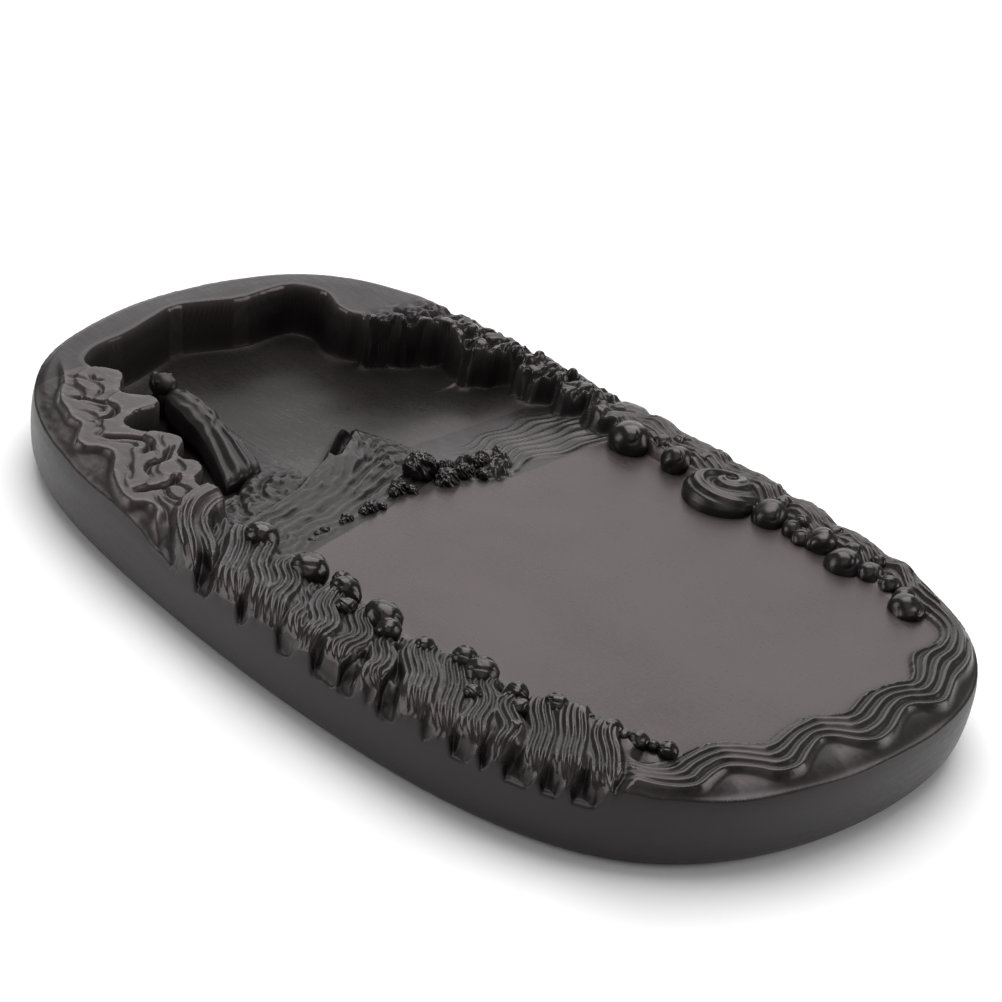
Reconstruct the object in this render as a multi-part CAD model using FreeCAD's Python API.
import FreeCAD, Part
import math
import os

# A carved inkstone: one rounded-oval slab of dark stone, lying flat.
# Frame: origin at the middle of the flat underside, +Z up, +Y towards the
# deep ink pool, -Y towards the user's end of the grinding face.
# All sizes are millimetres.

LENGTH = 250.0            # overall length along Y
WIDTH = 149.0             # overall width along X
RIM_Z = 22.0              # height of the rim
LEDGE_Z = 12.5            # below this the slab is plain; carving is above it
WALL_SECTIONS = [         # (height, how far the wall is inside the widest line)
    (0.0, 4.2), (1.1, 2.2), (3.6, 0.9), (8.0, 0.2), (14.0, 0.0),
    (19.6, 0.3), (21.3, 1.1), (22.0, 2.6)]
# height of the basin floor along Y: grinding face, lip, sloping ink pool
FLOOR = [(-112.0, 19.5), (-104.0, 19.1), (-85.0, 18.3), (-60.0, 17.6),
         (-30.0, 16.7), (0.0, 15.9), (12.0, 15.4), (22.0, 14.0),
         (32.0, 13.0), (44.0, 11.7), (58.0, 9.4), (70.0, 7.9), (85.0, 7.0),
         (100.0, 6.7), (120.0, 6.7)]
LIP_RISE = 0.9            # how far the rippled lip stands above the floor
BAND_TOP = 20.2           # base height of the rippled end band
RIPPLE_RISE = 1.0         # height of each ripple
FAR_BAND_TOP = 19.6       # base height under the far foam
NEAR_BAND_TOP = 20.4      # base height between the near wave crests
CREST_RISE = 1.6          # height of each crest over the band
ROCK_TOP = 17.4           # top of the dividing rock
BANK_TOP = 15.6           # top of the bank that the figure stands on
FIGURE_TOP = 19.0         # highest point of the figure's robe
OUTLINE_POINTS = 44

# plan outline of the slab: a rounded oval, a little fuller at the pool end
OX = (1.0, -0.037, -0.0724, -0.0038)
OY = (1.6286, 0.0316, 0.0739, -0.0008)


def raw_outline(n):
    pts = []
    for i in range(n):
        t = 2.0 * math.pi * i / n
        x = sum(c * math.cos((k + 1) * t) for k, c in enumerate(OX))
        y = sum(c * math.sin((k + 1) * t) for k, c in enumerate(OY))
        pts.append((x, y))
    return pts


def fitted(pts):
    dense = raw_outline(2880)
    x0, x1 = min(p[0] for p in dense), max(p[0] for p in dense)
    y0, y1 = min(p[1] for p in dense), max(p[1] for p in dense)
    sx, sy = WIDTH / (x1 - x0), LENGTH / (y1 - y0)
    cx, cy = (x0 + x1) / 2.0, (y0 + y1) / 2.0
    return [((x - cx) * sx, (y - cy) * sy) for x, y in pts]


def inset_outline(inset):
    pts = fitted(raw_outline(OUTLINE_POINTS * 4))
    n = len(pts)
    out = []
    for i in range(0, n, 4):
        ax, ay = pts[(i - 1) % n]
        bx, by = pts[(i + 1) % n]
        dx, dy = bx - ax, by - ay
        m = math.hypot(dx, dy)
        out.append((pts[i][0] - inset * dy / m, pts[i][1] + inset * dx / m))
    return out


def smooth_wire(pts, z):
    curve = Part.BSplineCurve()
    curve.interpolate(Points=[FreeCAD.Vector(x, y, z) for x, y in pts],
                      PeriodicFlag=True)
    return Part.Wire(curve.toShape())


def prism(pts, z0, z1):
    v = [FreeCAD.Vector(x, y, z0) for x, y in pts]
    face = Part.Face(Part.makePolygon(v + [v[0]]))
    return face.extrude(FreeCAD.Vector(0, 0, z1 - z0))


def above_floor(rise=0.0):
    # everything above the long sloping floor line
    pts = [(y, z + rise) for y, z in FLOOR] + [(FLOOR[-1][0], 40.0),
                                               (FLOOR[0][0], 40.0)]
    v = [FreeCAD.Vector(-90.0, y, z) for y, z in pts]
    return Part.Face(Part.makePolygon(v + [v[0]])).extrude(
        FreeCAD.Vector(180.0, 0, 0))


def ball(x, y, z, r):
    return Part.makeSphere(r, FreeCAD.Vector(x, y, z))


def strip(pts, width):
    # plan polygon of a band of even width along a line of points
    left, right = [], []
    for i, (x, y) in enumerate(pts):
        a = pts[max(i - 1, 0)]
        b = pts[min(i + 1, len(pts) - 1)]
        dx, dy = b[0] - a[0], b[1] - a[1]
        m = math.hypot(dx, dy)
        nx, ny = -dy / m * width / 2.0, dx / m * width / 2.0
        left.append((x + nx, y + ny))
        right.append((x - nx, y - ny))
    return left + right[::-1]


def joined(shapes):
    out = shapes[0]
    if len(shapes) > 1:
        out = out.multiFuse(shapes[1:])
    return out.removeSplitter()


def solids_of(shape, least=3.0):
    keep = [s for s in shape.Solids if s.Volume > least]
    return keep[0] if len(keep) == 1 else Part.makeCompound(keep)


# plan of the basin edge, anticlockwise from the middle of the pool end
BASIN = [
    (0, 116), (-10, 112), (-20, 108), (-30, 106), (-35, 104), (-40, 100),
    (-40, 95), (-37, 93), (-35, 90), (-37, 87), (-41.5, 82), (-42, 80),
    (-39, 78), (-36, 75), (-37, 71), (-44, 71), (-50, 69), (-51, 66),
    (-48, 62), (-46, 60), (-43.5, 57), (-43.5, 53), (-47, 50), (-50, 46.5),
    (-47, 44), (-47.5, 40), (-52.5, 37), (-53, 34), (-50, 31), (-51, 28),
    (-54, 24), (-53, 18), (-52, 10), (-51, 0), (-51, -8), (-50, -18),
    (-50, -28), (-52, -38), (-50, -46), (-45, -52), (-46, -60), (-47, -67),
    (-44, -74), (-41, -80), (-39, -86), (-37, -92), (-36, -97), (-33, -98),
    (-27, -99), (-22, -101), (-17, -104), (-12, -106), (-5, -105), (0, -105),
    (5, -107.5), (10, -109.5), (15, -108), (22, -107), (28, -108),
    (33, -109.5), (38, -106), (45, -104), (52, -103), (56, -100), (55, -95),
    (57, -90), (61.5, -80), (61.5, -70), (62.5, -60), (62.5, -45),
    (60, -38), (58, -32), (60, -26), (63, -20), (63, 0), (62, 6), (63, 9),
    (60, 12), (62, 16),
    (66, 20), (63, 23), (61, 26), (63, 29), (66, 32), (63, 35), (61, 38),
    (62, 43), (65, 46), (66, 50), (65, 54), (61, 55), (57, 55.5), (56, 58),
    (58, 62), (61, 66), (62, 70), (60, 74), (57, 75.5), (53, 76.5),
    (50, 79), (46, 81), (42, 83), (44, 85), (43, 88), (41, 90), (41, 96),
    (43, 100), (44, 104), (42, 109), (38, 112.5), (30, 112.5), (20, 111),
    (10, 114)]

# plan regions of the rim, each carved in its own manner
REGIONS = {
    "pool_end_rim": [(-90, 97), (-30, 97), (-30, 80), (30, 80), (40, 87.5),
                     (52, 81), (62, 75), (90, 67), (90, 140), (-90, 140)],
    "near_cliffs": [(-90, 24), (-30, 24), (-30, 97), (-90, 97)],
    "far_cliffs": [(40, 8), (90, 8), (90, 67), (62, 75), (52, 81),
                   (40, 87.5)],
    "far_wave_bank": [(40, -97), (90, -97), (90, 8), (40, 8)],
    "ripple_end_band": [(-90, -96), (-30, -96), (40, -97), (90, -97),
                        (90, -140), (-90, -140)],
    "near_wave_crests": [(-90, -96), (-30, -96), (-30, 24), (-90, 24)],
}

# far side foam: x, y, radius
FAR_PEARLS = [(63.5, 2.0, 4.4), (66.0, -8.0, 3.4), (67.0, -15.0, 3.6),
              (62.0, -44.0, 4.3), (63.0, -52.0, 3.0), (64.5, -58.5, 3.4),
              (61.5, -69.0, 4.2), (64.0, -76.0, 3.4), (61.0, -84.5, 3.2),
              (57.0, -90.0, 3.9)]
SPIRAL_CENTRE = (61.5, -30.0)
SPIRAL_RADIUS = 8.6

# near side foam heads: x, y, radius
NEAR_PEARLS = [(-53.5, 10.5, 3.4), (-53.5, -5.0, 4.0), (-52.5, -16.5, 4.0),
               (-53.0, -27.0, 3.8), (-55.5, -33.5, 3.0), (-52.5, -43.0, 2.6),
               (-49.5, -53.5, 4.0), (-49.0, -65.5, 2.6), (-45.0, -73.5, 2.3),
               (-42.5, -79.0, 2.0), (-41.0, -84.5, 2.3), (-39.5, -90.0, 2.1),
               (-37.5, -95.0, 1.9)]

# near side crests: (width, head beside the basin to the tip over the wall)
CRESTS = [
    (4.4, [(-52.5, 30.2), (-58, 29), (-63.5, 26), (-67.5, 21), (-70.5, 15),
           (-73.4, 7.5)]),
    (6.4, [(-52.5, 17), (-57, 12.5), (-62, 8), (-66, 3.5), (-70, -0.5),
           (-73.4, -6.5)]),
    (4.6, [(-54, 8), (-58, 4), (-63.5, 0), (-67.5, -6), (-72, -11)]),
    (6.6, [(-53, 0), (-57, -2), (-61, -6.5), (-66.5, -10), (-70.5, -14.5),
           (-73.4, -20.5)]),
    (5.0, [(-56, -9), (-60.5, -12), (-64, -17), (-69, -21), (-72.6, -25.5)]),
    (6.0, [(-52, -14.5), (-57, -17.5), (-62, -20), (-66, -25), (-70, -27.5),
           (-73, -31)]),
    (6.2, [(-52, -24), (-57.5, -26.5), (-62, -31), (-67, -33.5),
           (-71.0, -37.5)]),
    (4.6, [(-56, -35), (-60, -37), (-65, -42.5), (-68.5, -44.5),
           (-70.4, -48.5)]),
    (6.4, [(-50, -41), (-55, -44.5), (-60, -50), (-65, -54.5), (-68.4, -61)]),
    (6.6, [(-46, -48), (-51, -50), (-56.5, -55), (-62, -60), (-67.0, -67.5)]),
    (5.6, [(-48, -58), (-52.5, -60), (-57, -65), (-62, -69), (-65.4, -73.5)]),
    (5.0, [(-48.5, -66), (-53.5, -68.5), (-58, -74), (-62, -76.5),
           (-64, -79.5)]),
    (5.8, [(-42.5, -70), (-47, -73), (-52, -78), (-57, -82.5), (-60.2, -86.5)]),
    (5.4, [(-41.5, -77), (-46, -80), (-50.5, -84.5), (-55.5, -89)]),
]

ROCK = [(9, 51), (12, 40), (13, 30), (10, 23), (2, 18), (-8, 16.5),
        (-15, 15), (-22, 12.5), (-30, 11), (-38, 9), (-45, 6), (-49.8, 3),
        (-51, 12), (-52, 20), (-47, 24.5), (-36, 27), (-27, 30),
        (-20, 33.5), (-12, 36.5), (-5, 40.5)]
BANK = [(-20, 33.5), (-27, 30), (-36, 27), (-47, 24.5), (-52, 25),
        (-49, 29), (-49, 31), (-46, 36), (-41.5, 35.2), (-27, 43.5),
        (-24, 50), (-22, 60), (-20, 70), (-19, 78), (-17.5, 74),
        (-18.5, 60), (-19.5, 45)]
FIGURE = [(-20, 84.5), (-19, 81), (-20, 70), (-22, 60), (-24, 50), (-27, 43.5),
          (-41.5, 35.2), (-39, 46), (-36, 55), (-33, 62), (-28.5, 68),
          (-27.5, 75), (-26, 80), (-24.5, 84.5)]
FIGURE_HEAD = (-22.5, 87.0, 15.2, 4.0)
ROCK_FOAM = [(3.0, 21.0, 4.0), (7.5, 14.5, 3.4), (10.5, 21.0, 3.0),
             (14.5, 17.0, 3.0), (18.5, 14.5, 2.7), (22.0, 11.5, 2.3),
             (18.0, 21.0, 2.3), (22.5, 17.5, 2.0), (-6.0, 19.0, 2.3),
             (-16.0, 15.5, 2.2), (-25.0, 14.0, 1.9), (-33.5, 13.0, 1.5)]
LIP = [(26, 9), (58, 9), (58, 30), (26, 30)]

slab = Part.makeLoft([smooth_wire(inset_outline(i), z)
                      for z, i in WALL_SECTIONS], True, True)
basin_cut = prism(BASIN, 1.0, 40.0).common(above_floor())
carving_zone = Part.makeBox(200, 300, 40, FreeCAD.Vector(-100, -150, LEDGE_Z))
ring = slab.cut(basin_cut).common(carving_zone)
nodes = {}
nodes["stone_slab"] = slab.cut(basin_cut).cut(carving_zone)

core = prism(BASIN, 0.0, 40.0)
for name, region in REGIONS.items():
    nodes[name] = ring.common(prism(region, 0.0, 40.0)).cut(core)
# the ring left inside the basin edge is the floor above the ledge: it goes
# with the slab below it, as the grinding face
nodes["grinding_face"] = ring.common(core)

# the far bank and the near bank are lower than the rim between the foam
far_low = prism([(40, -96.5), (69.5, -96.5), (72, -60), (72, -10), (72, 7.5),
                 (40, 7.5)], FAR_BAND_TOP, 40.0)
nodes["far_wave_bank"] = nodes["far_wave_bank"].cut(far_low)
near_low = prism([(-90, -95.5), (-30, -95.5), (-30, 23.5), (-90, 23.5)],
                 NEAR_BAND_TOP, 40.0)
nodes["near_wave_crests"] = nodes["near_wave_crests"].cut(near_low)
inner_slab = Part.makeLoft([smooth_wire(inset_outline(0.8), z)
                            for z in (NEAR_BAND_TOP - 0.6, 24.0)], True, True)
crests = [prism(strip(c, wide), NEAR_BAND_TOP - 0.4,
                NEAR_BAND_TOP + CREST_RISE).common(inner_slab)
          for wide, c in CRESTS]
nodes["near_wave_crests"] = joined([nodes["near_wave_crests"]] + crests).cut(core)

# grooves between and behind the cliffs
for pts in ([(-47, 80), (-50, 83), (-53, 79), (-56, 72)],
            [(-51, 57), (-53, 62), (-56, 65)],
            [(-60, 48), (-55, 47), (-52, 46), (-57, 42), (-65, 40)],
            [(-55, 36), (-60, 34), (-64, 28)]):
    nodes["near_cliffs"] = nodes["near_cliffs"].cut(
        prism(strip(pts, 1.4), RIM_Z - 2.2, 40.0))
for pts in ([(60, 80), (68, 72)], [(63, 62), (72, 55)], [(68, 44), (74, 40)],
            [(66, 30), (74, 26)], [(64, 18), (74, 14)]):
    nodes["far_cliffs"] = nodes["far_cliffs"].cut(
        prism(strip(pts, 2.2), RIM_Z - 2.0, 40.0))

# rippled band round the user's end: low, with wavy ridges
band_low = prism([(-90, -96.5), (-30, -96.5), (40, -97.5), (90, -97.5),
                  (90, -140), (-90, -140)], BAND_TOP, 40.0)
nodes["ripple_end_band"] = nodes["ripple_end_band"].cut(band_low)
ripples = []
RIPPLE_LINE = [(50, -104), (45, -106), (40, -108.5), (34, -111.5),
               (28, -110.5), (22, -109), (15, -110.5), (9, -112),
               (3, -109.5), (-3, -107.5), (-10, -108.5), (-16, -107.5),
               (-21, -104.5), (-27, -102), (-34, -101.5), (-40, -101)]
for k in range(4):
    ripples.append(prism(strip([(x, y - 2.6 * k) for x, y in RIPPLE_LINE],
                               1.3), BAND_TOP, BAND_TOP + RIPPLE_RISE))
inside = Part.makeLoft([smooth_wire(inset_outline(2.0), z)
                        for z in (BAND_TOP - 1.0, 24.0)], True, True)
ripples = [r.common(inside) for r in ripples]
nodes["ripple_end_band"] = joined([nodes["ripple_end_band"]] + ripples)

# foam along the far side, sunk half into its bank
far_foam = [ball(x, y, FAR_BAND_TOP, r) for x, y, r in FAR_PEARLS]
nodes["far_foam_pearls"] = joined(far_foam)
spiral = Part.makeCylinder(SPIRAL_RADIUS, 6.6, FreeCAD.Vector(
    SPIRAL_CENTRE[0], SPIRAL_CENTRE[1], 15.8))
spiral = spiral.fuse(Part.makeCone(SPIRAL_RADIUS, 4.0, 1.4, FreeCAD.Vector(
    SPIRAL_CENTRE[0], SPIRAL_CENTRE[1], 22.4)))
groove = Part.makeTorus(5.4, 0.8, FreeCAD.Vector(
    SPIRAL_CENTRE[0], SPIRAL_CENTRE[1], 23.6))
nodes["spiral_wave_curl"] = spiral.cut(groove)
nodes["near_foam_pearls"] = joined(
    [ball(x, y, NEAR_BAND_TOP, r) for x, y, r in NEAR_PEARLS])

# carving that stands on the basin floor
nodes["dividing_rock"] = prism(ROCK, 2.0, ROCK_TOP).common(basin_cut)
nodes["figure_bank"] = prism(BANK, 2.0, BANK_TOP).common(basin_cut)
hx, hy, hz, hr = FIGURE_HEAD
figure = prism(FIGURE, 2.0, FIGURE_TOP).fuse(ball(hx, hy, hz, hr))
figure = figure.fuse(Part.makeCylinder(hr, hz - 2.0, FreeCAD.Vector(hx, hy, 2.0)))
nodes["robed_figure"] = figure.common(basin_cut)
nodes["rock_foam"] = joined([ball(x, y, ROCK_TOP - 0.6, r)
                             for x, y, r in ROCK_FOAM]).common(basin_cut)
nodes["rippled_lip"] = prism(LIP, 2.0, 40.0).common(
    prism(BASIN, 0.0, 40.0)).common(basin_cut.cut(above_floor(LIP_RISE)))

# each later region gives way to the ones named before it, so that the
# regions meet face to face and none overlaps another
ORDER = ["rock_foam", "spiral_wave_curl", "far_foam_pearls",
         "near_foam_pearls", "robed_figure", "figure_bank", "dividing_rock",
         "rippled_lip", "pool_end_rim", "near_cliffs", "far_cliffs",
         "far_wave_bank", "ripple_end_band", "near_wave_crests",
         "grinding_face", "stone_slab"]
done = {}
for name in ORDER:
    shape = nodes[name]
    box = shape.BoundBox
    for other in done.values():
        if box.intersect(other.BoundBox):
            shape = shape.cut(other)
    done[name] = shape

os.makedirs("parts", exist_ok=True)
for name, shape in done.items():
    shape = solids_of(shape)
    shape.exportStep(os.path.join("parts", name + ".step"))
    bb = shape.BoundBox
    print("%-18s solids %d valid %s volume %.0f box %.1f %.1f %.1f / %.1f %.1f %.1f" % (
        name, len(shape.Solids), shape.isValid(), shape.Volume,
        bb.XMin, bb.YMin, bb.ZMin, bb.XMax, bb.YMax, bb.ZMax))
